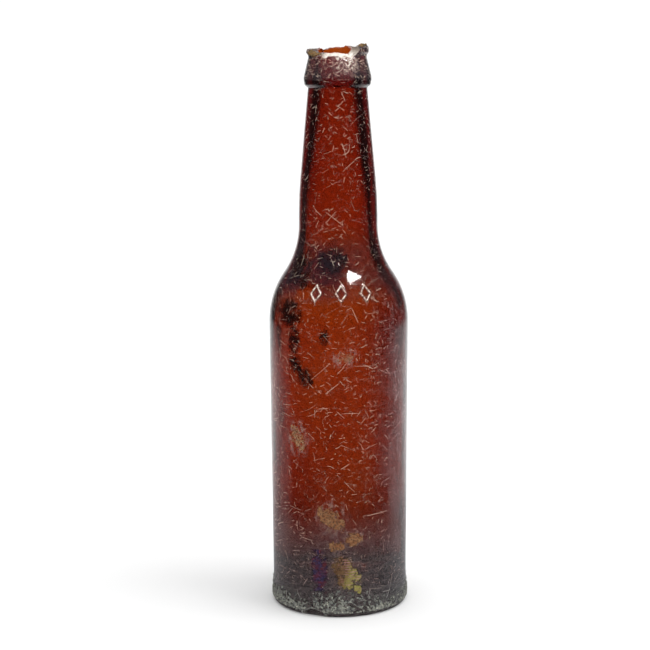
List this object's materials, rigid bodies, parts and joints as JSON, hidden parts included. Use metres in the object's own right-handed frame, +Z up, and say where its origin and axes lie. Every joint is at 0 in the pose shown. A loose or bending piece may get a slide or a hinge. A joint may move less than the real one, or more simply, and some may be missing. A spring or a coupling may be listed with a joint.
{
  "type": "glass bottle",
  "caption": "Old long-necked amber glass bottle with a broken crown lip, worn and scratched, with residue inside and crust round its heel.",
  "frame": {"origin": "centre of the base, on the surface that the bottle stands on", "axes": "+Z up along the bottle's axis, -Y towards the front, where the three raised marks are; +X to the right seen from the front"},
  "size_m": [0.061, 0.0614, 0.2449],
  "materials": {
    "amber_glass": "clear red-amber glass, scratched and scuffed to a pale haze, with a gloss between the scratches",
    "char_residue": "matt, flaky, almost black dried residue on the inside wall",
    "ochre_soil": "matt, dry ochre soil",
    "olive_crust": "matt olive and ochre crust with ripples",
    "iridescent_scale": "thin weathered glass scale with a violet and blue sheen",
    "mineral_crust": "grey, speckled, gritty crust with pale and greenish grains",
    "pale_film": "thin dusty tan film"
  },
  "bodies": {
    "root": {"glass_bottle": "amber_glass", "shoulder_residue_front": "char_residue", "shoulder_residue_left": "char_residue", "wall_residue_upper": "char_residue", "wall_residue_outer_streak": "char_residue", "wall_residue_inner_streak": "char_residue", "residue_flake_upper": "char_residue", "residue_flake_lower": "char_residue", "residue_flake_small": "char_residue", "pale_film_upper": "pale_film", "soil_smear_left": "pale_film", "ochre_soil_streak": "ochre_soil", "ochre_soil_tail": "ochre_soil", "ochre_soil_lower": "ochre_soil", "iridescent_scale": "iridescent_scale", "olive_crust": "olive_crust", "lip_soil_left": "ochre_soil", "lip_soil_right": "ochre_soil", "heel_crust": "mineral_crust"}
  },
  "joints": []
}
